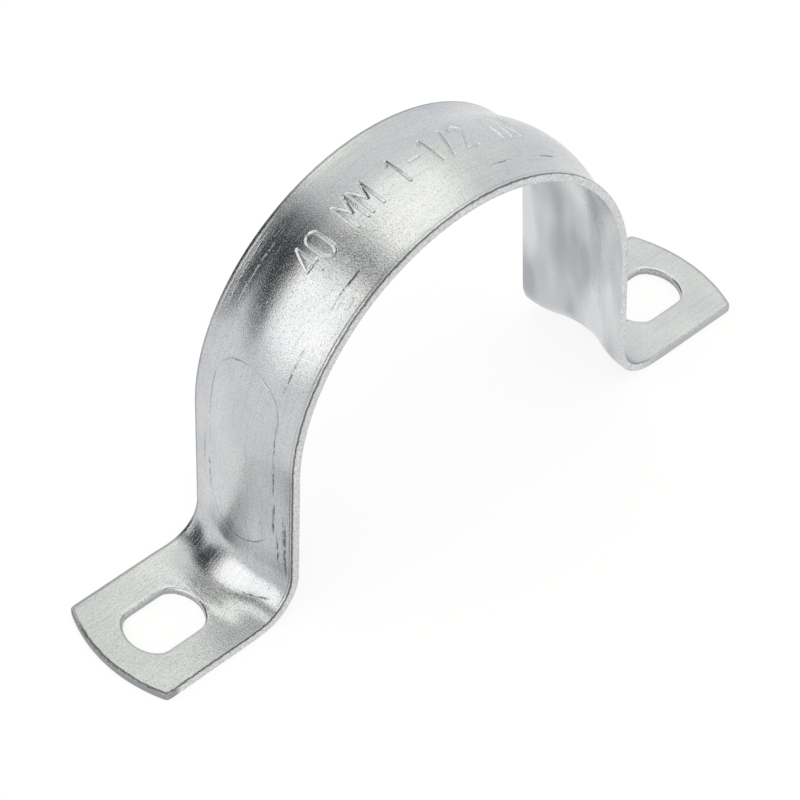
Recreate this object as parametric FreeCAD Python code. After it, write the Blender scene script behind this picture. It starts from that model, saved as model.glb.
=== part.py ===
import FreeCAD, Part
import math
import os

# A two-hole conduit strap: one strip of sheet steel, punched, crowned and bent over a pipe.
# Millimetres. The origin lies under the middle of the arch, on the plane that the feet rest on.
# X runs from foot to foot, Y along the pipe and Z up, away from the wall.

# Driving dimensions
PIPE_RADIUS = 20.0          # of the arch, at the two rims that bear on the pipe
AXIS_HEIGHT = 15.85         # of the pipe's axis above the underside of the feet
SHEET = 0.8                 # thickness of the sheet
STRIP_WIDTH = 13.8          # of the strip where it lies flat
DRAW_IN = 0.4               # what pressing the crown takes off that width
CROWN = 1.15                # rise of the strip's middle above its two rims
RIM = 0.35                  # width of the straight rim on each side of the crown
EDGE_BREAK = 0.12           # bevel of the outer edges, which the blanking punch draws down
LEG_SPLAY = 2.5             # degrees that each leg leans outward
BEND_RADIUS = 3.8           # inside the bend from leg to foot
CROWN_KEPT = 1.7            # length of bend that keeps the full crown
CROWN_RUNOUT = 2.0          # length of foot over which the last of the crown dies away
FOOT_LENGTH = 12.65         # from the end of the bend to the tip of the foot
FOOT_END_RADIUS = 17.0      # of the curved end of each foot
FOOT_CORNER_RADIUS = 0.5    # of the two corners of that end
HOLE_FROM_BEND = 5.9        # from the end of the bend to the middle of the screw hole
HOLE_LENGTH = 7.5           # of the screw hole, along the strap
HOLE_FLATS = 5.8            # of the screw hole, between its two flats

# Steps that each loft is drawn in, and how far a cutting tool runs past the sheet
BEND_STEP_COUNT = 8
RUNOUT_STEP_COUNT = 3
TOOL_MARGIN = 1.0
STRAIGHT = 1e-9             # three points this near to one line are joined by a line

X, Y, Z = FreeCAD.Vector(1, 0, 0), FreeCAD.Vector(0, 1, 0), FreeCAD.Vector(0, 0, 1)
ORIGIN = FreeCAD.Vector(0, 0, 0)

# Sizes that follow from them
arch_width = STRIP_WIDTH - DRAW_IN
splay = math.radians(LEG_SPLAY)
outer_bend = BEND_RADIUS + SHEET
arch_end_x = PIPE_RADIUS * math.cos(splay)
arch_end_z = AXIS_HEIGHT + PIPE_RADIUS * math.sin(splay)
leg_length = (arch_end_z - outer_bend * (1 - math.sin(splay))) / math.cos(splay)
bend_x = arch_end_x + leg_length * math.sin(splay) + outer_bend * math.cos(splay)
bend_turn = math.pi / 2 - splay
bend_length = outer_bend * bend_turn
runout_end = bend_length + CROWN_RUNOUT
hole_x = bend_x + HOLE_FROM_BEND
tip_x = bend_x + FOOT_LENGTH


def ease(share):
    """A smooth step from 0 to 1 that starts and ends level."""
    share = min(max(share, 0.0), 1.0)
    return share * share * (3 - 2 * share)


def bow(start, middle, end):
    """An arc through three points, or a line where they lie in a row."""
    if (middle - start).cross(end - middle).Length < STRAIGHT:
        return Part.makeLine(start, end)
    return Part.Arc(start, middle, end).toShape()


def face_line(width, crown, lift, rim_cut):
    """One face of the sheet in section, from the -Y side to the +Y side: rim, hollow, crest, hollow, rim.

    lift is the height of the face above the side that meets the pipe.
    rim_cut is what the bevelled edge takes off each end.
    """
    half = width / 2
    span = half - RIM
    crest, foot_of_rim = FreeCAD.Vector(0, 0, crown + lift), FreeCAD.Vector(0, span, lift)
    if crown > 0:
        radius = (span ** 2 + crown ** 2) / (4 * crown)
        lean = math.asin(span / 2 / radius)
        swing = radius - lift
        turn = FreeCAD.Vector(0, span - swing * math.sin(lean), radius - swing * math.cos(lean))
        hollow = FreeCAD.Vector(0, span - swing * math.sin(lean / 2), radius - swing * math.cos(lean / 2))
    else:
        turn = FreeCAD.Vector(0, span / 2, lift)
        hollow = (turn + foot_of_rim) / 2
    edge = FreeCAD.Vector(0, half - rim_cut, lift)

    def across(point):
        return FreeCAD.Vector(0, -point.y, point.z)

    return [
        Part.makeLine(across(edge), across(foot_of_rim)),
        bow(across(foot_of_rim), across(hollow), across(turn)),
        bow(across(turn), crest, turn),
        bow(turn, hollow, foot_of_rim),
        Part.makeLine(foot_of_rim, edge),
    ]


def cut_side(width, side):
    """The sheared edge of the sheet on one side in section, with its bevelled outer corner. side is 1 or -1."""
    half = width / 2
    bottom = FreeCAD.Vector(0, side * half, 0)
    below_bevel = FreeCAD.Vector(0, side * half, SHEET - EDGE_BREAK)
    top = FreeCAD.Vector(0, side * (half - EDGE_BREAK), SHEET)
    return [Part.makeLine(bottom, below_bevel), Part.makeLine(below_bevel, top)]


def strip_section(width, crown):
    """The closed section of the sheet in the YZ plane, with the pipe's side down."""
    edges = face_line(width, crown, 0, 0) + cut_side(width, 1)
    edges += face_line(width, crown, SHEET, EDGE_BREAK) + cut_side(width, -1)
    return Part.Wire(Part.sortEdges(edges)[0])


def placed(wire, x, z, lean):
    """The section moved to a point of the strip. lean is the angle in radians from Z to the face's outward normal."""
    turned = FreeCAD.Rotation(Y, math.degrees(lean))
    moved = wire.copy()
    moved.Placement = FreeCAD.Placement(FreeCAD.Vector(x, 0, z), turned)
    return moved


def bend_section(along):
    """The section at a length along the pipe's side of the strip, measured from the top of the bend."""
    share = 1 - ease((along - CROWN_KEPT) / (runout_end - CROWN_KEPT))
    width = STRIP_WIDTH - DRAW_IN * share
    turned = min(along, bend_length) / outer_bend
    lean = bend_turn - turned
    x = bend_x - outer_bend * math.sin(lean) + max(along - bend_length, 0)
    z = outer_bend * (1 - math.cos(lean))
    return placed(strip_section(width, CROWN * share), x, z, lean)


def arch():
    """The crowned strip turned about the pipe's axis, from leg to leg."""
    start = placed(strip_section(arch_width, CROWN), arch_end_x, arch_end_z, math.pi / 2 - splay)
    axis = FreeCAD.Vector(0, 0, AXIS_HEIGHT)
    return Part.Face(start).revolve(axis, -Y, 180 - 2 * LEG_SPLAY)


def leg():
    """The straight crowned strip from the arch down to the bend."""
    start = placed(strip_section(arch_width, CROWN), arch_end_x, arch_end_z, math.pi / 2 - splay)
    down = FreeCAD.Vector(math.sin(splay), 0, -math.cos(splay))
    return Part.Face(start).extrude(down * leg_length)


def lofted(start, end, step_count):
    """The strip between two lengths along it, lofted through evenly spaced sections."""
    steps = [start + (end - start) * i / step_count for i in range(step_count + 1)]
    return Part.makeLoft([bend_section(along) for along in steps], True, False)


def bend():
    """The strip turned out from leg to foot, with most of its crown dying away on the way round."""
    return lofted(0, bend_length, BEND_STEP_COUNT)


def runout():
    """The start of the foot, where the last of the crown sinks into the flat."""
    return lofted(bend_length, runout_end, RUNOUT_STEP_COUNT)


def foot():
    """The flat foot: a plate with a curved end, rounded corners and the same bevelled edge."""
    start, half = bend_x + CROWN_RUNOUT, STRIP_WIDTH / 2
    end_centre = tip_x - FOOT_END_RADIUS
    corner_x = end_centre + math.sqrt(FOOT_END_RADIUS ** 2 - half ** 2)
    near, far = FreeCAD.Vector(corner_x, -half, 0), FreeCAD.Vector(corner_x, half, 0)
    outline = Part.Wire([
        Part.makeLine(FreeCAD.Vector(start, -half, 0), near),
        Part.Arc(near, FreeCAD.Vector(tip_x, 0, 0), far).toShape(),
        Part.makeLine(far, FreeCAD.Vector(start, half, 0)),
        Part.makeLine(FreeCAD.Vector(start, half, 0), FreeCAD.Vector(start, -half, 0)),
    ])
    plate = Part.Face(outline).extrude(Z * SHEET)
    corners = [e for e in plate.Edges if e.BoundBox.ZLength > SHEET / 2 and e.CenterOfMass.x > start + SHEET]
    plate = plate.makeFillet(FOOT_CORNER_RADIUS, corners)
    rim = [e for e in plate.Edges if e.BoundBox.ZMin > SHEET / 2 and e.CenterOfMass.x > start + SHEET / 2]
    return plate.makeChamfer(EDGE_BREAK, rim)


def double_d(grow, z):
    """The outline of a screw hole at height z: a circle with two flats, grown outward on every side."""
    radius, flat = HOLE_LENGTH / 2 + grow, HOLE_FLATS / 2 + grow
    corner = math.sqrt(radius ** 2 - flat ** 2)

    def at(x, y):
        return FreeCAD.Vector(hole_x + x, y, z)

    return Part.Wire([
        Part.makeLine(at(-corner, -flat), at(corner, -flat)),
        Part.Arc(at(corner, -flat), at(radius, 0), at(corner, flat)).toShape(),
        Part.makeLine(at(corner, flat), at(-corner, flat)),
        Part.Arc(at(-corner, flat), at(-radius, 0), at(-corner, -flat)).toShape(),
    ])


def screw_hole():
    """The tool that cuts a screw hole: a double-D punch that flares where the hole's upper edge is bevelled."""
    punch = Part.Face(double_d(0, -TOOL_MARGIN)).extrude(Z * (SHEET + TOOL_MARGIN))
    flare_ends = [double_d(0, SHEET - EDGE_BREAK), double_d(2 * EDGE_BREAK, SHEET + EDGE_BREAK)]
    flare = Part.makeLoft(flare_ends, True, True)
    return punch.fuse(flare)


def both_sides(shape):
    """A shape of the right-hand side, and its mirror image on the left."""
    return [shape, shape.mirror(ORIGIN, X)]


def strap():
    """The whole strap, as one solid."""
    pieces = [arch()]
    for shape in (leg(), bend(), runout(), foot()):
        pieces += both_sides(shape)
    joined = pieces[0].fuse(pieces[1:])
    for tool in both_sides(screw_hole()):
        joined = joined.cut(tool)
    return joined.removeSplitter()


os.makedirs("parts", exist_ok=True)
body = strap()
print("strap", len(body.Solids), "solid, valid", body.isValid(), "volume", round(body.Volume, 1), "mm3")
body.Solids[0].exportStep("parts/strap.step")
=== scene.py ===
# %% [markdown]
# # A pressed conduit strap
# This lesson rebuilds a two-hole pipe strap the way a press shop makes one: a flat blank is cut
# from zinc-plated strip, its screw holes are punched, its size is stamped into the flat, and the
# press then bends it over a round former. The CAD model is the fixed frame: it says how large the
# strap is and where it stands, and the new piece takes its place in that frame.

# %% Load the frame
import math

import bpy
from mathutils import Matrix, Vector


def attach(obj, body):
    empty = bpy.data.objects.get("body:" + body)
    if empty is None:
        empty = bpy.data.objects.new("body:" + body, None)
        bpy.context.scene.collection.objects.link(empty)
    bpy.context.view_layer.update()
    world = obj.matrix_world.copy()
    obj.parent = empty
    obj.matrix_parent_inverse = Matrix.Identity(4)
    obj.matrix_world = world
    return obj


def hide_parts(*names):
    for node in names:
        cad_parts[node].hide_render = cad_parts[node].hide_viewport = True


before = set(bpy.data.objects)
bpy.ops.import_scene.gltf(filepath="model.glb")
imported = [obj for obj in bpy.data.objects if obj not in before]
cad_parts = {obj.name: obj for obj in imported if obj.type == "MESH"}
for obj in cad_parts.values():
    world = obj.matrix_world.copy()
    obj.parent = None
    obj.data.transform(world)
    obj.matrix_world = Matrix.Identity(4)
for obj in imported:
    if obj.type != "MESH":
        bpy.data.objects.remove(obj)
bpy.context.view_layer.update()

# %% [markdown]
# ## The camera
# A long lens, a quarter of a metre away, looks down on the strap from the left front. It keeps
# the near foot and the far foot at nearly the same scale. A short lens from nearby would show the
# same faces, but it would swell the near leg and shrink the far one.

# %% Place the camera
MM = 0.001
CAMERA_TURN = math.radians(-42.7)
CAMERA_RISE = math.radians(46.2)
CAMERA_DISTANCE = 271.8 * MM
LOOK_AT = Vector((-5.0, -3.2, 13.5)) * MM

towards_camera = Vector((math.sin(CAMERA_TURN) * math.cos(CAMERA_RISE),
                         -math.cos(CAMERA_TURN) * math.cos(CAMERA_RISE),
                         math.sin(CAMERA_RISE)))
bpy.ops.object.camera_add(location=LOOK_AT + towards_camera * CAMERA_DISTANCE)
camera = bpy.context.object
camera.rotation_euler = towards_camera.to_track_quat("Z", "Y").to_euler()
camera.data.lens = 135
camera.data.sensor_width = 36
camera.data.clip_start = 0.01
bpy.context.scene.camera = camera
print("camera at", [round(c / MM, 1) for c in camera.location], "mm")

# %% [markdown]
# ## The strap's own sizes
# A press tool is drawn from a handful of sizes: the pipe it has to hold, the strip it starts
# from, the radius it is bent round, and where the holes sit. The lengths along the strip could be
# typed in as well, but they are worked out from those sizes, so nothing can disagree: first the
# arc over the pipe, then the straight leg, the bend and the foot, all on the pipe side. The blank
# is as long as they add up to. All sizes are in millimetres.

# %% Name the sizes
PIPE_RADIUS = 20.0          # of the arch, on the pipe side
AXIS_HEIGHT = 15.85         # of the pipe's axis above the table
SHEET = 0.8                 # thickness of the sheet
STRIP_WIDTH = 13.8          # of the flat strip
DRAW_IN = 0.4               # what pressing the crown takes off that width
CROWN = 1.15                # rise of the strip's middle above its edges
RIM = 0.35                  # width of the straight rim beside the crown
LEG_SPLAY = math.radians(2.5)
BEND_RADIUS = 3.8 + SHEET   # of the pipe side, which is the outside of the bend
CROWN_KEPT = 1.7            # length of bend that keeps the full crown
CROWN_RUNOUT = 2.0          # length of foot over which the last of it dies away
FOOT_LENGTH = 12.65         # from the end of the bend to the tip
FOOT_END_RADIUS = 17.0
FOOT_CORNER_RADIUS = 0.5
HOLE_FROM_BEND = 5.9        # to the middle of the hole
HOLE_LENGTH = 7.5           # along the strip
HOLE_FLATS = 5.8            # between the hole's two flats

bend_turn = math.pi / 2 - LEG_SPLAY
arch_end_x = PIPE_RADIUS * math.cos(LEG_SPLAY)
arch_end_z = AXIS_HEIGHT + PIPE_RADIUS * math.sin(LEG_SPLAY)
leg_length = (arch_end_z - BEND_RADIUS * (1 - math.sin(LEG_SPLAY))) / math.cos(LEG_SPLAY)
bend_x = arch_end_x + leg_length * math.sin(LEG_SPLAY) + BEND_RADIUS * math.cos(LEG_SPLAY)

arch_ends = PIPE_RADIUS * bend_turn
leg_ends = arch_ends + leg_length
bend_ends = leg_ends + BEND_RADIUS * bend_turn
blank_ends = bend_ends + FOOT_LENGTH
hole_at = bend_ends + HOLE_FROM_BEND
print("flat blank:", round(2 * blank_ends, 1), "x", STRIP_WIDTH, "x", SHEET, "mm")

# %% [markdown]
# ## The flat blank
# On the real strap the blank is sheared from strip, with a double-D hole punched in each end, so
# that a screw can be set off-centre without turning. It could be cut with a Boolean, but that
# leaves long thin faces that shade badly once the metal is bent. Rings of faces round the hole
# bend cleanly, so the foot is made as a ring: the hole first, then the outline, then a bridge.

# %% Work out the foot's outline
CELL = 0.4                  # side of a face on the strip
RING_FROM_BEND = 0.6        # where the ring of faces round the hole starts
SIDE_STEPS = 30             # points along each side of the foot
CORNER_STEPS = 3            # faces round each corner of the foot
foot_starts = bend_ends + RING_FROM_BEND
across_cells = 2 * round(STRIP_WIDTH / CELL / 2)
end_steps = across_cells - 4    # round the foot's end, where its corners take the rest


def foot_outline():
    """The foot's outline as points, from the side next to the bend round to it again."""
    half, corner = STRIP_WIDTH / 2, FOOT_CORNER_RADIUS
    round_x = blank_ends - FOOT_END_RADIUS
    drop = FOOT_END_RADIUS - math.sqrt(FOOT_END_RADIUS ** 2 - half ** 2)
    side_ends = blank_ends - drop - corner
    points = []
    for step in range(across_cells + 1):
        points.append((foot_starts, half - STRIP_WIDTH * step / across_cells))
    for step in range(1, SIDE_STEPS):
        points.append((foot_starts + (side_ends - foot_starts) * step / (SIDE_STEPS - 1), -half))
    turn_in = math.asin((half - corner) / (FOOT_END_RADIUS - corner))
    middle = (round_x + (FOOT_END_RADIUS - corner) * math.cos(turn_in), -(half - corner))
    for step in range(1, CORNER_STEPS + 1):
        angle = -math.pi / 2 + (math.pi / 2 - turn_in) * step / CORNER_STEPS
        points.append((middle[0] + corner * math.cos(angle), middle[1] + corner * math.sin(angle)))
    for step in range(1, end_steps):
        angle = -turn_in + 2 * turn_in * step / end_steps
        points.append((round_x + FOOT_END_RADIUS * math.cos(angle),
                       FOOT_END_RADIUS * math.sin(angle)))
    lower_side = points[across_cells + 1:across_cells + SIDE_STEPS + CORNER_STEPS]
    return points + [(x, -y) for x, y in reversed(lower_side)]


outline = foot_outline()
print("foot outline:", len(outline), "points")

# %% Punch the hole
HOLE_CORNERS = (1.5, 3.1)   # the hole's corners are eased this far from its middle
HOLE_CORNER_REACH = 0.55    # and this near to its flats
CORNER_EASING = 14          # rounds of smoothing there


def start_clean():
    """Leave edit mode and select nothing."""
    if bpy.context.object and bpy.context.object.mode != "OBJECT":
        bpy.ops.object.mode_set(mode="OBJECT")
    bpy.ops.object.select_all(action="DESELECT")


def pick_vertices(piece, wanted):
    """Select the points whose place in millimetres is wanted, and stay in edit mode."""
    bpy.ops.object.mode_set(mode="EDIT")
    bpy.ops.mesh.select_mode(type="VERT")
    bpy.ops.mesh.select_all(action="DESELECT")
    bpy.ops.object.mode_set(mode="OBJECT")
    for vertex in piece.data.vertices:
        vertex.select = bool(wanted(vertex.co / MM))
    bpy.ops.object.mode_set(mode="EDIT")


start_clean()
bpy.ops.mesh.primitive_circle_add(vertices=len(outline), radius=HOLE_LENGTH / 2 * MM,
                                  location=(0, 0, 0))
blank = bpy.context.object
blank.name = blank.data.name = "formed_strap"
# What lies past a flat is pressed onto it.
for side in (1, -1):
    flat = side * HOLE_FLATS / 2
    pick_vertices(blank, lambda place: place.y * side > HOLE_FLATS / 2)
    bpy.ops.transform.resize(value=(1, 0, 1), center_override=(0, flat * MM, 0))
pick_vertices(blank, lambda place: abs(abs(place.y) - HOLE_FLATS / 2) < HOLE_CORNER_REACH
              and HOLE_CORNERS[0] < abs(place.x) < HOLE_CORNERS[1])
bpy.ops.mesh.vertices_smooth(factor=0.5, repeat=CORNER_EASING)
bpy.ops.mesh.select_all(action="SELECT")
bpy.ops.transform.translate(value=(hole_at * MM, 0, 0))
print("hole:", HOLE_LENGTH, "by", HOLE_FLATS, "mm,", round(hole_at, 1), "mm along the strip")

# %% Move a copy of the hole's edge out to the outline, and bridge the two
RING_CUTS = 7               # between the hole and the outline


def from_bend_side(ring, place_of):
    """The same ring, starting at its point on the centre line on the side of the bend."""
    places = [place_of(item) for item in ring]
    start = min(range(len(ring)), key=lambda i: (places[i][0] > hole_at, abs(places[i][1])))
    return ring[start:] + ring[:start]


bpy.ops.mesh.duplicate()
bpy.ops.object.mode_set(mode="OBJECT")
ring = [vertex for vertex in blank.data.vertices if vertex.select]
ring.sort(key=lambda vertex: -math.atan2(vertex.co.y, -(vertex.co.x - hole_at * MM)))
ring = from_bend_side(ring, lambda vertex: vertex.co / MM)
outline = from_bend_side(outline, lambda point: point)
same_way = 1 if ring[1].co.y * outline[1][1] > 0 else -1
for index, (x, y) in enumerate(outline):
    ring[index * same_way % len(ring)].co = Vector((x, y, 0)) * MM
bpy.ops.object.mode_set(mode="EDIT")
bpy.ops.mesh.select_all(action="SELECT")
bpy.ops.mesh.bridge_edge_loops(number_cuts=RING_CUTS, interpolation="LINEAR")
bpy.ops.object.mode_set(mode="OBJECT")
print("foot ring:", len(blank.data.polygons), "faces round the hole")

# %% Add half of the strip between the feet
MERGE = 0.02                # points closer than this are one point


def take_up(piece):
    """Select one piece alone and make it the active one."""
    start_clean()
    piece.select_set(True)
    bpy.context.view_layer.objects.active = piece


take_up(blank)
bpy.ops.object.mode_set(mode="EDIT")
bpy.ops.mesh.select_all(action="DESELECT")
along_cells = round(foot_starts / CELL)
# The grid is 2 wide, so a move by 1 sets its end on the strip's middle before it gets its size.
bpy.ops.mesh.primitive_grid_add(x_subdivisions=along_cells, y_subdivisions=across_cells, size=2,
                                location=(0, 0, 0))
bpy.ops.transform.translate(value=(1, 0, 0))
bpy.ops.transform.resize(value=(foot_starts / 2 * MM, STRIP_WIDTH / 2 * MM, 1),
                         center_override=(0, 0, 0))
bpy.ops.mesh.select_all(action="SELECT")
bpy.ops.mesh.remove_doubles(threshold=MERGE * MM)
bpy.ops.mesh.normals_make_consistent(inside=False)
bpy.ops.object.mode_set(mode="OBJECT")
# A flat sheet has no inside, so its faces may all have come out pointing down.
if sum(face.normal.z for face in blank.data.polygons) < 0:
    bpy.ops.object.mode_set(mode="EDIT")
    bpy.ops.mesh.flip_normals()
    bpy.ops.object.mode_set(mode="OBJECT")
print("half a blank:", len(blank.data.polygons), "faces")

# %% Mirror the half
def finish_modifier(piece, kind, **settings):
    """Add a modifier with its settings and apply it."""
    modifier = piece.modifiers.new(kind.title(), kind)
    for name, value in settings.items():
        setattr(modifier, name, value)
    take_up(piece)
    bpy.ops.object.modifier_apply(modifier=modifier.name)


finish_modifier(blank, "MIRROR", merge_threshold=MERGE * MM)
print("blank:", len(blank.data.polygons), "faces,",
      [round(side / MM, 2) for side in blank.dimensions], "mm")

# %% Give the blank its thickness
finish_modifier(blank, "SOLIDIFY", thickness=SHEET * MM, offset=1, use_even_offset=True)
print("thickness:", round(max(v.co.z for v in blank.data.vertices) / MM, 3), "mm,",
      len(blank.data.polygons), "faces")

# %% [markdown]
# ## The cut edges
# A punch pulls the sheet down before it breaks through, so the edge it enters by is rolled over,
# and most of all round the holes. The other edges only lose their burr in the plating barrel. A
# bevel of a few short faces stands for both: a wide one for the roll-over, a narrow one elsewhere.
# A Bevel modifier would treat all sharp edges alike, so the edges are picked in code, by place.

# %% Roll the hole edges and break the others
HOLE_ROLL = 0.30            # width of the roll-over round the top of a hole
EDGE_BREAK = 0.10           # width of the broken edge everywhere else
HOLE_MARGIN = 0.1           # an edge this near to a hole belongs to it
LEVEL_WITHIN = 0.01         # an edge that rises by less than this lies level
SHARP = math.radians(50)


def bevel_edges(piece, wanted, width, segments):
    """Bevel the sharp level edges whose middle is wanted, and count them."""
    bpy.ops.object.mode_set(mode="EDIT")
    bpy.ops.mesh.select_mode(type="EDGE")
    bpy.ops.mesh.select_all(action="DESELECT")
    bpy.ops.mesh.edges_select_sharp(sharpness=SHARP)
    bpy.ops.object.mode_set(mode="OBJECT")
    chosen = 0
    for edge in piece.data.edges:
        start, end = [piece.data.vertices[index].co for index in edge.vertices]
        level = abs(start.z - end.z) < LEVEL_WITHIN * MM
        edge.select = edge.select and level and wanted((start + end) / 2 / MM)
        chosen += edge.select
    bpy.ops.object.mode_set(mode="EDIT")
    bpy.ops.mesh.bevel(offset=width * MM, segments=segments, affect="EDGES")
    bpy.ops.object.mode_set(mode="OBJECT")
    return chosen


def at_hole(place):
    """Whether a place is on a hole's edge."""
    return math.hypot(abs(place.x) - hole_at, place.y) < HOLE_LENGTH / 2 + HOLE_MARGIN


rolled_over = bevel_edges(blank, lambda place: at_hole(place) and place.z > SHEET / 2,
                          width=HOLE_ROLL, segments=5)
broken = bevel_edges(blank, lambda place: not at_hole(place) or place.z < SHEET / 2,
                     width=EDGE_BREAK, segments=2)
print("edges rolled over:", rolled_over, " broken:", broken, " faces:", len(blank.data.polygons))

# %% [markdown]
# ## The stamped size
# The size of pipe is struck into the top of the flat blank with a row of steel letter punches.
# Text could be cut out with a Boolean, but its letters are outlines with sharp walls. A real letter
# is a single soft groove of even width, so it is drawn here as one thin line, the way an engraver's
# template does it. The metal near a line is then pushed down: the faces there are cut small, a
# vertex group measures how near each point is, and Displace sinks it by that much.

# %% Draw the letters as single lines
STAMP = "40 MM 1-1/2 IN"
LETTER_HEIGHT = 3.1
LETTER_WIDTH = 1.2
LETTER_PITCH = 1.73
FIRST_LETTER = -12.55       # its middle, along the strip
GROOVE_WIDTH = 0.3
GROOVE_FLOOR = 0.06         # width of its flat floor
GROOVE_DEPTH = 0.13
STAMP_MARGIN = (1.0, 0.4)   # along and across, of the patch that is cut small for the stamp
STAMP_CUTS = 5              # across each face of that patch


def arc(middle, size, start, end, steps=14):
    """Part of an ellipse as points, from one angle in degrees to another."""
    turns = [math.radians(start + (end - start) * step / steps) for step in range(steps + 1)]
    return [(middle[0] + size[0] * math.cos(t), middle[1] + size[1] * math.sin(t)) for t in turns]


# Each letter is drawn in a box that is 1 wide and 1 high.
LINES = {
    "4": [[(0.74, 0), (0.74, 1), (0, 0.3), (1, 0.3)]],
    "0": [arc((0.5, 0.76), (0.5, 0.24), 0, 180) + arc((0.5, 0.24), (0.5, 0.24), 180, 360)
          + [(1, 0.76)]],
    "1": [[(0.2, 0.8), (0.55, 1), (0.55, 0)]],
    "2": [arc((0.5, 0.74), (0.5, 0.26), 165, -35) + [(0, 0), (1, 0)]],
    "-": [[(0.1, 0.5), (0.9, 0.5)]],
    "/": [[(0.05, 0), (0.95, 1)]],
    "M": [[(0, 0), (0, 1), (0.5, 0.4), (1, 1), (1, 0)]],
    "N": [[(0, 0), (0, 1), (1, 0), (1, 1)]],
    "I": [[(0.5, 0), (0.5, 1)]],
}
points, edges = [], []
for number, letter in enumerate(STAMP):
    left = FIRST_LETTER + number * LETTER_PITCH - LETTER_WIDTH / 2
    for line in LINES.get(letter, []):
        for index, (x, y) in enumerate(line):
            if index:
                edges.append((len(points) - 1, len(points)))
            point = Vector((left + x * LETTER_WIDTH, (y - 0.5) * LETTER_HEIGHT, SHEET))
            points.append(point * MM)
punches = bpy.data.objects.new("letter_punches", bpy.data.meshes.new("letter_punches"))
punches.data.from_pydata(points, edges, [])
bpy.context.collection.objects.link(punches)
print("stamp:", STAMP, "in", len(edges), "short lines")

# %% Strike the letters into the blank
take_up(blank)
bpy.ops.object.mode_set(mode="EDIT")
bpy.ops.mesh.select_mode(type="FACE")
bpy.ops.mesh.select_all(action="DESELECT")
bpy.ops.object.mode_set(mode="OBJECT")
last_letter = FIRST_LETTER + (len(STAMP) - 1) * LETTER_PITCH
for face in blank.data.polygons:
    middle = face.center / MM
    face.select = (face.normal.z > 0.5
                   and abs(middle.y) < LETTER_HEIGHT / 2 + STAMP_MARGIN[1]
                   and FIRST_LETTER - STAMP_MARGIN[0] < middle.x < last_letter + STAMP_MARGIN[0])
bpy.ops.object.mode_set(mode="EDIT")
bpy.ops.mesh.subdivide(number_cuts=STAMP_CUTS)
bpy.ops.object.mode_set(mode="OBJECT")
struck = [v.index for v in blank.data.vertices if v.select]
near_letters = blank.vertex_groups.new(name="near_letters")
near_letters.add(struck, 1.0, "REPLACE")
finish_modifier(blank, "VERTEX_WEIGHT_PROXIMITY", vertex_group="near_letters", target=punches,
                proximity_mode="GEOMETRY", proximity_geometry={"EDGE"}, falloff_type="SMOOTH",
                min_dist=GROOVE_WIDTH / 2 * MM, max_dist=GROOVE_FLOOR / 2 * MM)
finish_modifier(blank, "DISPLACE", vertex_group="near_letters", direction="Z",
                strength=-GROOVE_DEPTH * MM, mid_level=0)
bpy.data.objects.remove(punches)
print("struck points:", len(struck), " faces:", len(blank.data.polygons))

# %% [markdown]
# ## Unroll the strip for the finish
# Marks on the metal were made while it was flat or slid along the tool, so they follow the strip
# and not the room. Unwrapping the bent strap would need seams and would stretch the crown. The
# flat blank is its own best map: each corner's place on it, in millimetres, is kept as the UV map
# before the press changes the shape.

# %% Keep the flat places as the UV map
strip_map = blank.data.uv_layers.new(name="strip_mm")
for loop in blank.data.loops:
    place = blank.data.vertices[loop.vertex_index].co / MM
    strip_map.data[loop.index].uv = (place.x, place.y)
print("UV map", strip_map.name, "runs from", round(-blank_ends, 1), "to", round(blank_ends, 1))

# %% Measure how far each point is from the cut edge
def from_cut_edge(place):
    """How far a point lies inside the strip's sides and the curved ends of the feet."""
    end_middle = blank_ends - FOOT_END_RADIUS
    to_side = STRIP_WIDTH / 2 - abs(place.y)
    if abs(place.x) < end_middle:
        return to_side
    return min(to_side, FOOT_END_RADIUS - math.hypot(abs(place.x) - end_middle, place.y))


def from_hole(place):
    """How far a point lies outside the double-D hole."""
    reach = math.hypot(abs(place.x) - hole_at, place.y) - HOLE_LENGTH / 2
    return max(reach, abs(place.y) - HOLE_FLATS / 2)


def keep_measure(name, measure):
    """Keep one number at each point, as an attribute that the material can read."""
    values = blank.data.attributes.new(name, "FLOAT", "POINT").data
    for vertex in blank.data.vertices:
        values[vertex.index].value = measure(vertex.co / MM)
    return max(item.value for item in values)


widest = keep_measure("from_cut_edge", from_cut_edge)
keep_measure("from_hole", from_hole)
keep_measure("height_on_blank", lambda place: place.z / SHEET)
print("widest gap from an edge:", round(widest, 2), "mm")

# %% [markdown]
# ## The press
# The former is round, and a shallow groove along it presses a raised crown into the strip, which
# makes the thin sheet stiff. The crown keeps its height down the leg and dies away through the
# bend, so the foot lies flat. The metal gathers a little more in the left bend than in the
# right, so its crown swells there into a round nose. A lattice or a curve modifier could bend the
# blank, but neither keeps the sheet's thickness, so each point of the blank is carried to its
# place along the bent strip, and lifted by its height above the pipe side. Sheet can't crease as
# sharply as a drawn curve, so the end of the nose settles towards the metal on both sides of it.

# %% How high the crown stands along the strip
BEND_CROWN = 1.5            # rise of the left bend's crown, where it is highest
BEND_SWELL = (-1.5, 3.0)    # where it swells to that, past the end of the leg
NOSE = (3.9, 8.8)           # where it dies away again


def eased(value, start, end):
    """A smooth step from 0 at start to 1 at end."""
    part = min(max((value - start) / (end - start), 0.0), 1.0)
    return part * part * (3 - 2 * part)


def crown_share(along):
    """How much of the crown is left at a length along the strip."""
    return 1 - eased(along - leg_ends, CROWN_KEPT, bend_ends + CROWN_RUNOUT - leg_ends)


def crown_at(side, along):
    """The rise of the crown at a length along the strip, on the left (-1) or the right (1)."""
    if side > 0:
        return CROWN * crown_share(along)
    past = along - leg_ends
    gathered = CROWN + (BEND_CROWN - CROWN) * eased(past, *BEND_SWELL)
    return gathered * math.sqrt(1 - eased(past, *NOSE))


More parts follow.
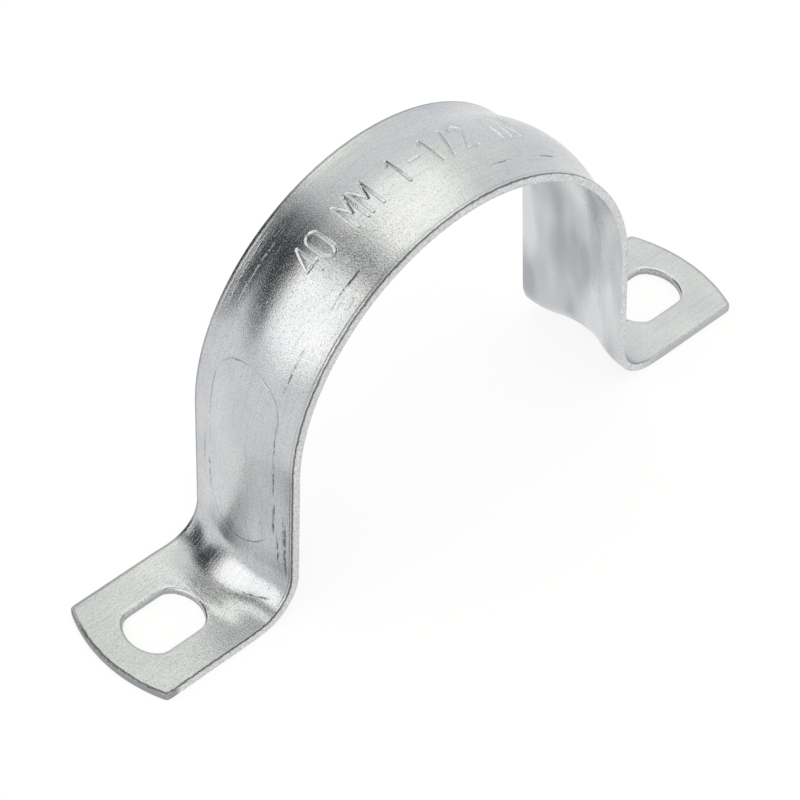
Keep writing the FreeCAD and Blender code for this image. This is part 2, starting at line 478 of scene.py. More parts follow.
in_bend = leg_ends + BEND_SWELL[1]
print("crown in the left bend:", round(crown_at(-1, in_bend), 2), "mm, in the right bend:",
      round(crown_at(1, in_bend), 2), "mm")

# %% Where the press carries a point of the flat blank
NO_CROWN = 1e-6             # a crown lower than this is none


def crown_height(across, width, crown):
    """The height and the slope of the crowned sheet at a place across it."""
    span = width / 2 - RIM
    reach = abs(across)
    if crown < NO_CROWN or reach >= span:
        return 0.0, 0.0
    radius = (span ** 2 + crown ** 2) / (4 * crown)
    side = math.copysign(1, across)
    if reach <= span / 2:
        deep = math.sqrt(radius ** 2 - reach ** 2)
        return crown - radius + deep, -side * reach / deep
    deep = math.sqrt(radius ** 2 - (span - reach) ** 2)
    return radius - deep, -side * (span - reach) / deep


def pressed(place):
    """Where the press carries a point of the flat blank."""
    side = math.copysign(1, place.x)
    along = abs(place.x)
    width = STRIP_WIDTH - DRAW_IN * crown_share(along)
    across = place.y * width / STRIP_WIDTH
    height, slope = crown_height(across, width, crown_at(side, along))
    steep = math.sqrt(1 + slope ** 2)
    across -= place.z * slope / steep
    height += place.z / steep
    if along < arch_ends:
        lean = along / PIPE_RADIUS
        x, z = PIPE_RADIUS * math.sin(lean), AXIS_HEIGHT + PIPE_RADIUS * math.cos(lean)
    elif along < leg_ends:
        lean = bend_turn
        x = arch_end_x + (along - arch_ends) * math.sin(LEG_SPLAY)
        z = arch_end_z - (along - arch_ends) * math.cos(LEG_SPLAY)
    elif along < bend_ends:
        lean = bend_turn - (along - leg_ends) / BEND_RADIUS
        x, z = bend_x - BEND_RADIUS * math.sin(lean), BEND_RADIUS * (1 - math.cos(lean))
    else:
        lean, x, z = 0.0, bend_x + along - bend_ends, 0.0
    return Vector((side * (x + math.sin(lean) * height), across, z + math.cos(lean) * height))


print("top of the arch:", round(pressed(Vector((0, 0, SHEET))).z, 2), "mm above the table")

# %% Bend and crown the blank
SETTLE_FROM = (4.5, 5.3)    # where the end of the nose starts to settle, past the leg's end
SETTLE_UNTIL = (8.7, 9.1)   # and where it stops
SETTLE_REACH = 0.5          # how far each way along the strip it does so


def settled(place):
    """The same, with the end of the left bend's nose evened out along the strip."""
    past = -place.x - leg_ends
    if not SETTLE_FROM[0] < past < SETTLE_UNTIL[1]:
        return pressed(place)
    slack = SETTLE_REACH * eased(past, *SETTLE_FROM) * (1 - eased(past, *SETTLE_UNTIL))
    shifts = [Vector((slack * step, 0, 0)) for step in (-1, -0.5, 0, 0.5, 1)]
    return sum((pressed(place + shift) for shift in shifts), Vector()) / len(shifts)


for vertex in blank.data.vertices:
    vertex.co = settled(vertex.co / MM) * MM
blank.data.update()
take_up(blank)
bpy.ops.object.shade_smooth_by_angle(angle=SHARP)
print("pressed strap:", [round(side / MM, 2) for side in blank.dimensions], "mm")

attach(blank, "root")
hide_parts("strap")

# %% [markdown]
# ## Zinc-plated steel
# The strip is cold-rolled mild steel with a thin electroplated zinc coat. It is bare metal to the
# eye, a cool light grey, and the fine crystals of the zinc blur what it reflects. The finish could
# be one roughness value, but real plating has grain, pits, clouds and rolling streaks at very
# different sizes, so each is its own pattern with its size in millimetres.

# %% Helpers for colours and nodes
def linear(hex_colour):
    """An sRGB hex colour as linear red, green, blue and alpha."""
    channels = [int(hex_colour[i:i + 2], 16) / 255 for i in (1, 3, 5)]
    return [c / 12.92 if c <= 0.04045 else ((c + 0.055) / 1.055) ** 2.4 for c in channels] + [1]


def add_node(tree, kind, settings=None, inputs=None):
    """Add a node. An input is a value, a node's output, or a node, for its first output."""
    node = tree.nodes.new(kind)
    for name, value in (settings or {}).items():
        setattr(node, name, value)
    for name, value in (inputs or {}).items():
        source = value.outputs[0] if isinstance(value, bpy.types.Node) else value
        if isinstance(source, bpy.types.NodeSocket):
            tree.links.new(source, node.inputs[name])
        else:
            node.inputs[name].default_value = source
    return node


def new_material(name):
    """A new material and its empty node tree."""
    material = bpy.data.materials.new(name)
    material.use_nodes = True
    material.node_tree.nodes.clear()
    return material, material.node_tree


MATH, VECTOR, RANGE, NOISE = ("ShaderNodeMath", "ShaderNodeVectorMath", "ShaderNodeMapRange",
                              "ShaderNodeTexNoise")
MAPPING, SPLIT, MIX, MEASURE = ("ShaderNodeMapping", "ShaderNodeSeparateXYZ", "ShaderNodeMix",
                                "ShaderNodeAttribute")
FALLING = {"To Min": 1, "To Max": 0}     # for a range that runs down from 1 to 0
print("helpers ready")

# %% Scales of the finish, in millimetres
# Real zinc grain is about 0.02 mm across and its pits 0.05 mm. Both would vanish at this size, so
# they are drawn several times coarser. The other sizes are about those of the real finish.
GRAIN = 0.17
PIT = 0.14
CLOUD = 5.0                 # of darker and lighter zinc
SWELL = 3.2                 # of the sheet's slight waviness
STREAK = (9.0, 0.25)        # length and width of a fine streak from the rolling mill
BAND = (15.0, 4.2)          # length and width of a band along the strip: a slight swell in the relief, and painted reflection on the pipe side

zinc, tree = new_material("electroplated_zinc_on_rolled_steel")
surface = add_node(tree, "ShaderNodeTexCoord")
millimetres = add_node(tree, MAPPING, {}, {"Vector": surface.outputs["Object"],
                                           "Scale": (1 / MM, 1 / MM, 1 / MM)})
strip = add_node(tree, "ShaderNodeUVMap", {"uv_map": "strip_mm"})
print("material started:", zinc.name)

# %% Grain, pits, clouds and streaks
grain = add_node(tree, NOISE, {}, {"Vector": millimetres, "Scale": 1 / GRAIN, "Detail": 3,
                                   "Roughness": 0.65})
pit_noise = add_node(tree, NOISE, {}, {"Vector": millimetres, "Scale": 1 / PIT, "Roughness": 0.6})
pits = add_node(tree, RANGE, {}, {"Value": pit_noise, "From Min": 0.55, "From Max": 0.70})
clouds = add_node(tree, NOISE, {}, {"Vector": millimetres, "Scale": 1 / CLOUD, "Detail": 3,
                                    "Roughness": 0.55})
swells = add_node(tree, NOISE, {}, {"Vector": millimetres, "Scale": 1 / SWELL, "Detail": 1,
                                    "Roughness": 0.4})
rolled = add_node(tree, MAPPING, {}, {"Vector": strip, "Scale": (1 / STREAK[0], 1 / STREAK[1], 1)})
streaks = add_node(tree, NOISE, {}, {"Vector": rolled, "Scale": 1, "Detail": 3, "Roughness": 0.6})
# The same bands swell the relief a little everywhere, and on the pipe side they are painted light
# and dark as reflection.
band_map = add_node(tree, MAPPING, {}, {"Vector": strip, "Scale": (1 / BAND[0], 1 / BAND[1], 1)})
bands = add_node(tree, NOISE, {}, {"Vector": band_map, "Scale": 1, "Detail": 2, "Roughness": 0.4})
print("grain", GRAIN, "mm, clouds", CLOUD, "mm, streaks", STREAK[0], "mm long")

# %% [markdown]
# ## Which face is which
# The outer face was rolled, the pipe side slid over the former, and the walls were sheared, so each
# looks different, and the pipe side is also painted a darker grey as shade, with bands of painted
# reflection. The faces could be separate materials, but the border between two of those follows the
# mesh. Masks are made here instead from what was measured on the flat blank: the height in the
# sheet, from 0 on the pipe side to 1 outside, and the gaps to the cut edges in millimetres. A mask
# has a soft border of an even width, wherever the faces lie.

# %% Masks for the faces of the sheet
level = add_node(tree, MEASURE, {"attribute_name": "height_on_blank"}).outputs["Fac"]
gap = add_node(tree, MEASURE, {"attribute_name": "from_cut_edge"}).outputs["Fac"]
in_hole = add_node(tree, MEASURE, {"attribute_name": "from_hole"}).outputs["Fac"]
outer_face = add_node(tree, RANGE, {}, {"Value": level, "From Min": 0.6, "From Max": 0.7})
pipe_face = add_node(tree, RANGE, {}, {"Value": level, "From Min": 0.3, "From Max": 0.2})
edge_wall = add_node(tree, RANGE, {}, {"Value": gap, "From Min": 0.03, "From Max": 0.10, **FALLING})
hole_low = add_node(tree, RANGE, {}, {"Value": level, "From Min": 0.75, "From Max": 0.60})
hole_near = add_node(tree, RANGE, {}, {"Value": in_hole, "From Min": 0.02, "From Max": 0.06,
                                       **FALLING})
hole_wall = add_node(tree, MATH, {"operation": "MULTIPLY"}, {0: hole_near, 1: hole_low})
print("masks ready: outer face, pipe face, edge wall, hole wall")

# %% [markdown]
# ## Tool marks
# The press leaves its own marks: the outline of the pad that held the leg, lines where the sheet
# dragged over the die's edge, and scratches from tumbling with other straps. They could be painted
# by hand, but each is simply a distance in the strip's own map, so a few numbers in millimetres
# place it and it stays sharp at any size. In that map the left foot has the most negative places
# along the strip, and the side nearer the camera the negative places across it.

# %% A slightly shaken copy of the strip's map
SHAKE = 0.15                # the most that a mark is moved, so none is ruler straight
SHAKES_PER_MM = 1.6
wobble = add_node(tree, NOISE, {}, {"Vector": strip, "Scale": SHAKES_PER_MM})
wobbled = add_node(tree, VECTOR, {"operation": "MULTIPLY_ADD"},
                   {0: wobble.outputs["Color"], 1: (2 * SHAKE, 2 * SHAKE, 0), 2: strip})
on_strip = add_node(tree, VECTOR, {"operation": "SUBTRACT"}, {0: wobbled, 1: (SHAKE, SHAKE, 0)})
split = add_node(tree, SPLIT, {}, {0: on_strip})
along_strip, across_strip = split.outputs["X"], split.outputs["Y"]
from_top = add_node(tree, MATH, {"operation": "ABSOLUTE"}, {0: along_strip})
print("the map is shaken by up to", SHAKE, "mm")

# %% Scratches: start, end and width in millimetres along and across the strip
SCRATCHES = [
    ((-22.9, -3.8), (-18.1, -3.9), 0.16), ((-14.6, -4.1), (-9.6, -4.1), 0.13),
    ((-34.0, -4.2), (-29.5, -4.3), 0.14), ((-29.4, -4.3), (-25.6, -3.9), 0.10),
    ((-38.9, -4.2), (-34.2, -4.4), 0.12), ((-48.4, -2.7), (-46.8, -5.2), 0.16),
    ((-43.6, -5.8), (-35.6, -5.5), 0.30), ((-42.6, -4.9), (-38.2, -4.6), 0.12),
    ((-20.0, 4.4), (-12.2, 4.3), 0.12), ((-39.6, 4.2), (-35.0, 4.5), 0.14),
    ((-37.4, 5.4), (-32.6, 5.2), 0.11), ((-19.8, 5.6), (-13.6, 5.8), 0.08),
    ((4.4, -3.9), (7.4, -3.9), 0.09), ((10.8, -3.9), (13.4, -3.9), 0.09),
]
TAPER = 0.25                # share of a scratch over which each of its ends fades
SKIPS_PER_MM = 1.25         # where the point that scratched it left the metal
scratches = 0.0
for start, end, wide in SCRATCHES:
    run = Vector(end) - Vector(start)
    turned = add_node(tree, MAPPING, {"vector_type": "TEXTURE"},
                      {"Vector": on_strip, "Location": (*start, 0),
                       "Rotation": (0, 0, math.atan2(run.y, run.x))})
    at = add_node(tree, SPLIT, {}, {0: turned})
    beside = add_node(tree, MATH, {"operation": "ABSOLUTE"}, {0: at.outputs["Y"]})
    cut = add_node(tree, RANGE, {}, {"Value": beside, "From Min": wide * 0.2, "From Max": wide,
                                     **FALLING})
    to_end = add_node(tree, MATH, {"operation": "SUBTRACT"}, {0: run.length, 1: at.outputs["X"]})
    inside = add_node(tree, MATH, {"operation": "MINIMUM"}, {0: at.outputs["X"], 1: to_end})
    taper = add_node(tree, RANGE, {}, {"Value": inside, "From Max": run.length * TAPER})
    mark = add_node(tree, MATH, {"operation": "MULTIPLY"}, {0: cut, 1: taper})
    scratches = add_node(tree, MATH, {"operation": "MAXIMUM"}, {0: scratches, 1: mark})
skips = add_node(tree, NOISE, {}, {"Vector": strip, "Scale": SKIPS_PER_MM})
touches = add_node(tree, RANGE, {}, {"Value": skips, "From Min": 0.38, "From Max": 0.55})
scratches = add_node(tree, MATH, {"operation": "MULTIPLY"}, {0: scratches, 1: touches})
scratches = add_node(tree, MATH, {"operation": "MULTIPLY"}, {0: scratches, 1: outer_face})
print("scratches:", len(SCRATCHES))

# %% The outline of the clamping pad
PAD_MIDDLE = 31.8           # along the strip, on each side of the top
PAD_HALF = 5.5              # from there to where its round end starts
PAD_RADIUS = 4.15           # of its round ends
PAD_EDGE = (0.35, 0.15)     # how far its worn edge reaches inside that outline and outside it
FADES_PER_MM = 0.38         # the outline comes and goes along the strip
HARD_FROM = (-40.5, -39.5)  # but it always shows round its lower end on the left leg
from_pad = add_node(tree, MATH, {"operation": "SUBTRACT"}, {0: from_top, 1: PAD_MIDDLE})
from_pad = add_node(tree, MATH, {"operation": "ABSOLUTE"}, {0: from_pad})
past_side = add_node(tree, MATH, {"operation": "SUBTRACT"}, {0: from_pad, 1: PAD_HALF})
past_side = add_node(tree, MATH, {"operation": "MAXIMUM"}, {0: past_side, 1: 0})
offset = add_node(tree, "ShaderNodeCombineXYZ", {}, {0: past_side, 1: across_strip})
reach = add_node(tree, VECTOR, {"operation": "LENGTH"}, {0: offset}).outputs["Value"]
pad_press = add_node(tree, RANGE, {}, {"Value": reach, "From Min": PAD_RADIUS - PAD_EDGE[0],
                                       "From Max": PAD_RADIUS + PAD_EDGE[1], **FALLING})
rim_gap = add_node(tree, MATH, {"operation": "SUBTRACT"}, {0: reach, 1: PAD_RADIUS})
rim_gap = add_node(tree, MATH, {"operation": "ABSOLUTE"}, {0: rim_gap})
pad_rim = add_node(tree, RANGE, {}, {"Value": rim_gap, "From Min": 0.02, "From Max": 0.12,
                                     **FALLING})
fading = add_node(tree, NOISE, {}, {"Vector": strip, "Scale": FADES_PER_MM})
printed = add_node(tree, RANGE, {}, {"Value": fading, "From Min": 0.36, "From Max": 0.60})
pressed_hard = add_node(tree, RANGE, {}, {"Value": along_strip, "From Min": HARD_FROM[0],
                                          "From Max": HARD_FROM[1], **FALLING})
printed = add_node(tree, MATH, {"operation": "MAXIMUM"}, {0: printed, 1: pressed_hard})
pad_mark = add_node(tree, MATH, {"operation": "MULTIPLY"}, {0: pad_rim, 1: printed})
pad_mark = add_node(tree, MATH, {"operation": "MULTIPLY"}, {0: pad_mark, 1: outer_face})
print("pad outline:", 2 * (PAD_HALF + PAD_RADIUS), "by", 2 * PAD_RADIUS, "mm")

# %% Hairlines in three directions
# Real hairlines are a few hundredths of a millimetre wide. They are drawn wider, so they show.
HAIRLINE = (4.0, 0.2)       # length and width
hair = 0.0
for turn, seed in ((8, 4.0), (-24, 9.0), (57, 2.0)):
    laid = add_node(tree, MAPPING, {}, {"Vector": strip, "Location": (seed, seed / 3, 0),
                                        "Rotation": (0, 0, math.radians(turn)),
                                        "Scale": (1 / HAIRLINE[0], 1 / HAIRLINE[1], 1)})
    long_noise = add_node(tree, NOISE, {}, {"Vector": laid, "Scale": 1, "Detail": 1})
    lines = add_node(tree, RANGE, {}, {"Value": long_noise, "From Min": 0.70, "From Max": 0.76})
    hair = add_node(tree, MATH, {"operation": "MAXIMUM"}, {0: hair, 1: lines})
print("hairlines: about", HAIRLINE[0], "mm long and", HAIRLINE[1], "mm wide")

# %% The burr line along the cut edge, painted dark as shade
# The shear leaves a ragged burr just inside the edge, and its dark line is painted shade on the
# rounded corner there. It is painted fainter on the right foot and along the far side.
BURR_SHADE_FROM_EDGE = 0.17
BURR_SHADE_RAGGED = 0.18          # how far the line strays to each side of that
JAGS_PER_MM = 1.7
jagged = add_node(tree, NOISE, {}, {"Vector": millimetres, "Scale": JAGS_PER_MM, "Detail": 4,
                                    "Roughness": 0.75})
ragged = add_node(tree, MATH, {"operation": "MULTIPLY_ADD"},
                  {0: jagged, 1: -2 * BURR_SHADE_RAGGED, 2: gap})
ragged = add_node(tree, MATH, {"operation": "ADD"}, {0: ragged, 1: BURR_SHADE_RAGGED - BURR_SHADE_FROM_EDGE})
ragged = add_node(tree, MATH, {"operation": "ABSOLUTE"}, {0: ragged})
# Painted shade: a dark ragged line just inside the cut edge, on the top face.
burr_and_edge_shade = add_node(tree, RANGE, {}, {"Value": ragged, "From Min": 0.04, "From Max": 0.17, **FALLING})
on_top = add_node(tree, RANGE, {}, {"Value": level, "From Min": 0.88, "From Max": 0.95})
fainter_on_right_foot = add_node(tree, RANGE, {}, {"Value": along_strip, "From Min": bend_ends - 4,
                                       "From Max": bend_ends, "To Min": 1, "To Max": 0.35})
fainter_on_far_side = add_node(tree, RANGE, {}, {"Value": across_strip, "From Min": 4.0, "From Max": 5.5,
                                       "To Min": 1, "To Max": 0.45})
for share in (on_top, fainter_on_right_foot, fainter_on_far_side):
    burr_and_edge_shade = add_node(tree, MATH, {"operation": "MULTIPLY"}, {0: burr_and_edge_shade, 1: share})
print("burr line", BURR_SHADE_FROM_EDGE, "mm inside the edge")

# %% The line where the die's edge rubbed
RUB_FROM_EDGE = 0.60
rub = add_node(tree, MATH, {"operation": "SUBTRACT"}, {0: gap, 1: RUB_FROM_EDGE})
rub = add_node(tree, MATH, {"operation": "ABSOLUTE"}, {0: rub})
rub = add_node(tree, RANGE, {}, {"Value": rub, "From Min": 0.03, "From Max": 0.17, **FALLING})
above_foot = add_node(tree, RANGE, {}, {"Value": from_top, "From Min": bend_ends - 4,
                                        "From Max": bend_ends - 2, **FALLING})
die_side = add_node(tree, RANGE, {}, {"Value": across_strip, "From Min": -5.5, "From Max": -4.5,
                                      "To Min": 1, "To Max": 0.2})
for share in (above_foot, outer_face, die_side):
    rub = add_node(tree, MATH, {"operation": "MULTIPLY"}, {0: rub, 1: share})
print("rub line", RUB_FROM_EDGE, "mm inside the edge, mostly on the near side")

# %% The left foot's tip, the painted shade on the feet's walls, the ironed nose and the tumbled right foot
# The left foot turns a greener, darker grey towards its tip, and its end wall there is painted dark
# as shade. The nose of the left bend was ironed smooth against the die. The right foot is brighter,
# with less grain, and its cut walls are painted a darker grey as shade.
NOSE_MIDDLE = (-46.9, -1.6, 0)
# A greener, darker grey towards the left foot's tip.
left_tip_tint = add_node(tree, RANGE, {}, {"Value": along_strip, "From Min": -blank_ends + 1,
                                      "From Max": -bend_ends - 1, **FALLING})
sheared_end = add_node(tree, RANGE, {}, {"Value": along_strip, "From Min": -blank_ends + 2.5,
                                         "From Max": -blank_ends + 2.9, **FALLING})
# Painted shade: the end wall near the left foot's tip is painted dark.
left_end_wall_shade = add_node(tree, MATH, {"operation": "MULTIPLY"}, {0: sheared_end, 1: edge_wall})
to_nose = add_node(tree, VECTOR, {"operation": "DISTANCE"}, {0: strip, 1: NOSE_MIDDLE})
ironed = add_node(tree, RANGE, {}, {"Value": to_nose.outputs["Value"], "From Min": 1.0,
                                    "From Max": 3.2, "To Min": 0.5, "To Max": 1})
tumbled = add_node(tree, RANGE, {}, {"Value": along_strip, "From Min": bend_ends - 3,
                                     "From Max": bend_ends + 2, "To Min": 1, "To Max": 0.3})
far_foot = add_node(tree, RANGE, {}, {"Value": along_strip, "From Min": bend_ends - 2,
                                      "From Max": bend_ends + 1})
# Painted shade: the cut walls of the right foot are painted a darker grey.
right_wall_shade = add_node(tree, MATH, {"operation": "MULTIPLY"}, {0: far_foot, 1: edge_wall})
print("feet and nose marked")

# %% [markdown]
# ## The colour in layers
# New zinc is one cool light grey, and everything else lies over it: clouds, grain, pits, streaks
# and marks on the outer face, a darker grey on the pipe side that is painted shade with bands of
# painted reflection, and paler torn metal on the walls. Painted shade also darkens a line along the
# cut edge, the left foot's end wall and the right foot's walls.
# It could be painted by hand, but the layers are a list here, each with a mask, a strength and a
# colour, so one can be changed without the others. A later layer covers an earlier one.

# %% The patterns turned into masks
light_grain = add_node(tree, RANGE, {}, {"Value": grain, "From Min": 0.35, "From Max": 0.65})
dark_grain = add_node(tree, RANGE, {}, {"Value": grain, "From Min": 0.40, "From Max": 0.62,
                                        **FALLING})
dark_grain = add_node(tree, MATH, {"operation": "MULTIPLY"}, {0: dark_grain, 1: tumbled})
pits = add_node(tree, MATH, {"operation": "MULTIPLY"}, {0: pits, 1: ironed})
cloudy = add_node(tree, RANGE, {}, {"Value": clouds, "From Min": 0.35, "From Max": 0.65})
streaky = add_node(tree, RANGE, {}, {"Value": streaks, "From Min": 0.52, "From Max": 0.72})
painted_reflection_bands = add_node(tree, RANGE, {}, {"Value": bands, "From Min": 0.38, "From Max": 0.62})
print("patterns turned into masks")

# %% Mix the colour
coat = add_node(tree, MIX, {"data_type": "RGBA"},
                {0: cloudy, 6: linear("#D3D4D5"), 7: linear("#C9CBCF")}).outputs[2]
# Painted shade and painted reflection: the pipe side is painted a darker grey, lighter and darker
# in bands along the strip.
painted_pipe_side_shade = add_node(tree, MIX, {"data_type": "RGBA"},
                     {0: painted_reflection_bands, 6: linear("#A5A7AD"), 7: linear("#DADBDD")}).outputs[2]
wall = add_node(tree, MIX, {"data_type": "RGBA"},
                {0: light_grain, 6: linear("#BCBDBF"), 7: linear("#EAEAEA")}).outputs[2]
hole_grey = add_node(tree, MIX, {"data_type": "RGBA"},
                     {0: light_grain, 6: linear("#8E9294"), 7: linear("#C2C4C4")}).outputs[2]
# Painted shade among these layers: the dark line along the cut edge, the dark end wall of the left
# foot and the darker walls of the right foot. The pipe side's grey is painted shade, with bands of
# painted reflection.
layers = [(left_tip_tint, 0.60, linear("#B4B9B7")), (dark_grain, 0.28, linear("#A0A4A8")),
          (pits, 0.45, linear("#84888C")), (streaky, 0.24, linear("#989BA0")),
          (hair, 0.35, linear("#A0A4A8")), (rub, 0.35, linear("#9A9A9A")),
          (pad_mark, 0.55, linear("#767C82")), (scratches, 0.85, linear("#585C60")),
          (pipe_face, 0.85, painted_pipe_side_shade), (edge_wall, 1.0, wall),
          (left_end_wall_shade, 0.8, linear("#85888B")), (right_wall_shade, 0.7, linear("#AEB0B2")),
          (hole_wall, 1.0, hole_grey), (burr_and_edge_shade, 0.90, linear("#4C4E51"))]
for mask, strength, over in layers:
    share = add_node(tree, MATH, {"operation": "MULTIPLY"}, {0: mask, 1: strength})
    coat = add_node(tree, MIX, {"data_type": "RGBA"}, {0: share, 6: coat, 7: over}).outputs[2]
print("colour mixed from", len(layers), "layers")

# %% [markdown]
# ## Gloss and relief
# Plated steel mirrors the room in a blur, which is softer over pits and on the cut walls. What is
# taller than a few hundredths of a millimetre is in the mesh: the crown, the stamp and the rolled
# edges. The rest could be modelled too, but grain and marks are smaller than the mesh's faces. So
# they and the sheet's slight waviness are added up as one height in millimetres, which a Bump node
# turns into shading.

# %% Roughness and relief
cut_metal = add_node(tree, MATH, {"operation": "MAXIMUM"}, {0: edge_wall, 1: hole_wall})
rough = add_node(tree, RANGE, {}, {"Value": grain, "From Min": 0.3, "From Max": 0.7,
                                   "To Min": 0.15, "To Max": 0.25})
rough = add_node(tree, MATH, {"operation": "MULTIPLY_ADD"}, {0: pits, 1: 0.10, 2: rough})
rough = add_node(tree, MATH, {"operation": "MULTIPLY_ADD"}, {0: cut_metal, 1: 0.25, 2: rough})
relief = 0.0
for pattern, height in ((grain, 0.019), (clouds, 0.04), (swells, 0.03), (streaks, 0.008),
                        (bands, 0.02), (pits, -0.006), (hair, -0.008)):
    relief = add_node(tree, MATH, {"operation": "MULTIPLY_ADD"}, {0: pattern, 1: height, 2: relief})
relief = add_node(tree, MATH, {"operation": "MULTIPLY"}, {0: relief, 1: ironed})
for pattern, height in ((scratches, -0.04), (pad_mark, -0.025), (pad_press, -0.008), (rub, -0.012),
                        (burr_and_edge_shade, -0.03)):
    relief = add_node(tree, MATH, {"operation": "MULTIPLY_ADD"}, {0: pattern, 1: height, 2: relief})
bump = add_node(tree, "ShaderNodeBump", {}, {"Height": relief, "Strength": 1.0, "Distance": MM})
shader = add_node(tree, "ShaderNodeBsdfPrincipled", {},
                  {"Base Color": coat, "Roughness": rough, "Normal": bump, "Metallic": 1.0})
add_node(tree, "ShaderNodeOutputMaterial", {}, {"Surface": shader})
blank.data.materials.append(zinc)
print("plated:", zinc.name, "with", len(tree.nodes), "nodes")

# %% [markdown]
# ## The stage
# A small bright part is best shown on white paper in a bright room. Polished metal has no look of
# its own, only what it reflects. Stronger lamps would make the paper white too, but they would
# bleach the strap. So the paper shows as white to the eye and to the metal at a strength of 1,
# which adds no light, and a share of it stays plain matt paper, which takes the strap's shadow.

# %% White paper
PAPER_WHITE = 0.85          # share of the paper that is pure white, the rest takes the shadow
start_clean()
bpy.ops.mesh.primitive_plane_add(size=3)
floor = bpy.context.object
floor.name = "floor"
paper, tree = new_material("matt_white_paper")
path = add_node(tree, "ShaderNodeLightPath")
shown = add_node(tree, MATH, {"operation": "MAXIMUM"},
                 {0: path.outputs["Is Camera Ray"], 1: path.outputs["Is Glossy Ray"]})
shown = add_node(tree, MATH, {"operation": "MAXIMUM"},
                 {0: shown, 1: path.outputs["Is Transmission Ray"]})
shown = add_node(tree, MATH, {"operation": "MULTIPLY"}, {0: shown, 1: PAPER_WHITE})
fibres = add_node(tree, "ShaderNodeBsdfDiffuse", {}, {"Color": linear("#F4F4F4")})
glow = add_node(tree, "ShaderNodeEmission", {}, {"Color": (1, 1, 1, 1), "Strength": 1.0})
mix = add_node(tree, "ShaderNodeMixShader", {}, {0: shown, 1: fibres, 2: glow})
add_node(tree, "ShaderNodeOutputMaterial", {}, {"Surface": mix})
floor.data.materials.append(paper)
print("floor:", paper.name)

# %% [markdown]
# ## The room
# Metal in an all-white room looks like paper. What makes it read as metal is the few dark things
# round it, so the room has a dark corner, a gap between two screens and a low skirting. They could
# be boards stood round the strap, but those would also shade it. Painted on the world for glossy
# rays only, they are seen in the metal and leave the light on everything else even. The corner is
# three round patches, each a turn round the strap and a rise above the table, with an inner and
# an outer edge, in degrees. The gap and the skirting have straight edges.

# %% Directions in the room
world = bpy.data.worlds.new("bright_room")
bpy.context.scene.world = world
world.use_nodes = True
tree = world.node_tree
tree.nodes.clear()


def direction(turn, rise):
    """The way to a turn round the strap and a rise above the table, both in degrees."""
    turn, rise = math.radians(turn), math.radians(rise)
    return (math.sin(turn) * math.cos(rise), -math.cos(turn) * math.cos(rise), math.sin(rise))


path = add_node(tree, "ShaderNodeLightPath")
outward = add_node(tree, "ShaderNodeTexCoord").outputs["Generated"]
way = add_node(tree, SPLIT, {}, {0: outward})
print("room:", world.name)

# %% The dark corner
dark = 0.0
for turn, rise, inner, outer in ((-136, 14, 8, 18), (-153, 22, 16, 26), (-168, 8, 10, 20)):
    facing = add_node(tree, VECTOR, {"operation": "DOT_PRODUCT"},
                      {0: outward, 1: direction(turn, rise)}).outputs["Value"]
    corner = add_node(tree, RANGE, {}, {"Value": facing, "From Min": math.cos(math.radians(outer)),
                                        "From Max": math.cos(math.radians(inner))})
    dark = add_node(tree, MATH, {"operation": "MAXIMUM"}, {0: dark, 1: corner})
print("dark corner set")

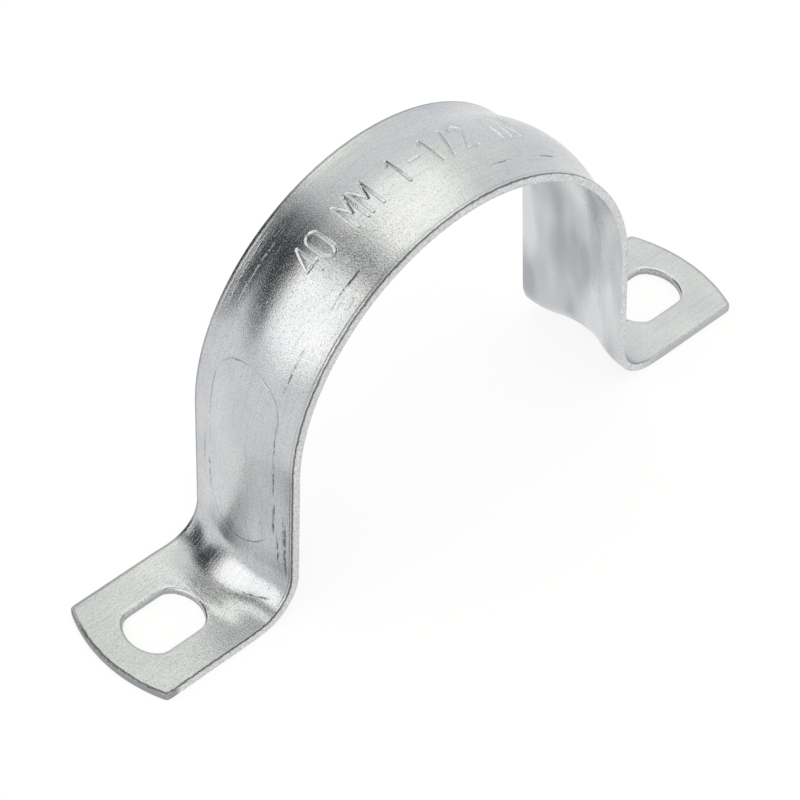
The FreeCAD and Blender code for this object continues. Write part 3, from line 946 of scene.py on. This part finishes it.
# %% The gap between the screens, and the skirting
# Each edge is a value with its place and its shade on both sides of the edge. The screens' edges
# are straight on a chart of the room, where a direction is divided by its height over CHART_LIFT.
CHART_LIFT = 1.3
lifted = add_node(tree, MATH, {"operation": "ADD"}, {0: way.outputs["Z"], 1: CHART_LIFT})
sideways = add_node(tree, MATH, {"operation": "DIVIDE"}, {0: way.outputs["X"], 1: lifted})
backwards = add_node(tree, MATH, {"operation": "DIVIDE"}, {0: way.outputs["Y"], 1: lifted})
GAP_EDGES = ((sideways, -0.25, -0.22, 0, 1), (sideways, -0.12, -0.09, 1, 0),
             (backwards, 0.30, 0.42, 0.95, 0))
SKIRTING_EDGES = ((way.outputs["Z"], 0.02, 0.05, 0, 1), (way.outputs["Z"], 0.12, 0.16, 1, 0),
                  (way.outputs["X"], -0.60, -0.75, 0, 0.8))
for sides in (GAP_EDGES, SKIRTING_EDGES):
    shade = 1.0
    for value, low, high, to_low, to_high in sides:
        side = add_node(tree, RANGE, {}, {"Value": value, "From Min": low, "From Max": high,
                                          "To Min": to_low, "To Max": to_high})
        shade = add_node(tree, MATH, {"operation": "MULTIPLY"}, {0: shade, 1: side})
    dark = add_node(tree, MATH, {"operation": "MAXIMUM"}, {0: dark, 1: shade})
dark = add_node(tree, MATH, {"operation": "MULTIPLY"}, {0: dark, 1: path.outputs["Is Glossy Ray"]})
print("dark parts of the room are seen by the metal only")

# %% The room's white
height = add_node(tree, RANGE, {}, {"Value": way.outputs["Z"], "From Min": 0.1, "From Max": 0.6})
white = add_node(tree, MIX, {"data_type": "RGBA"},
                 {0: height, 6: linear("#FAFCFF"), 7: linear("#FDFFF9")}).outputs[2]
white = add_node(tree, MIX, {"data_type": "RGBA"},
                 {0: dark, 6: white, 7: linear("#3C4045")}).outputs[2]
room = add_node(tree, "ShaderNodeBackground", {}, {"Color": white, "Strength": 1.0})
add_node(tree, "ShaderNodeOutputWorld", {}, {"Surface": room})
print("room painted")

# %% [markdown]
# ## The lamps
# Two large soft boxes, one low on the left and one overhead, put a soft bright patch on the arch
# and another near the crown. A bare bulb could light the strap too, but it would make sharp points
# on the metal. Each lamp is placed by its turn, rise and distance, and its power is worked out
# from its brightness and area.

# %% Soft boxes
LAMP_DISTANCE = 600
for name, turn, rise, size, brightness, glow in (
        ("left_softbox", -95, 34, (840, 600), 0.68, (1.0, 0.96, 0.92)),
        ("top_softbox", 90, 80, (840, 510), 0.54, (1.0, 0.95, 0.86))):
    stands = LOOK_AT + Vector(direction(turn, rise)) * LAMP_DISTANCE * MM
    bpy.ops.object.light_add(type="AREA", location=stands)
    lamp = bpy.context.object
    lamp.name = name
    lamp.data.shape = "RECTANGLE"
    lamp.data.size, lamp.data.size_y = size[0] * MM, size[1] * MM
    lamp.data.energy = brightness * math.pi * size[0] * size[1] * MM * MM
    lamp.data.color = glow
    lamp.rotation_euler = (stands - LOOK_AT).to_track_quat("Z", "Y").to_euler()
    lamp.visible_camera = False
    print(name, "gives", round(lamp.data.energy, 2), "W")
bpy.context.scene.view_settings.view_transform = "Standard"
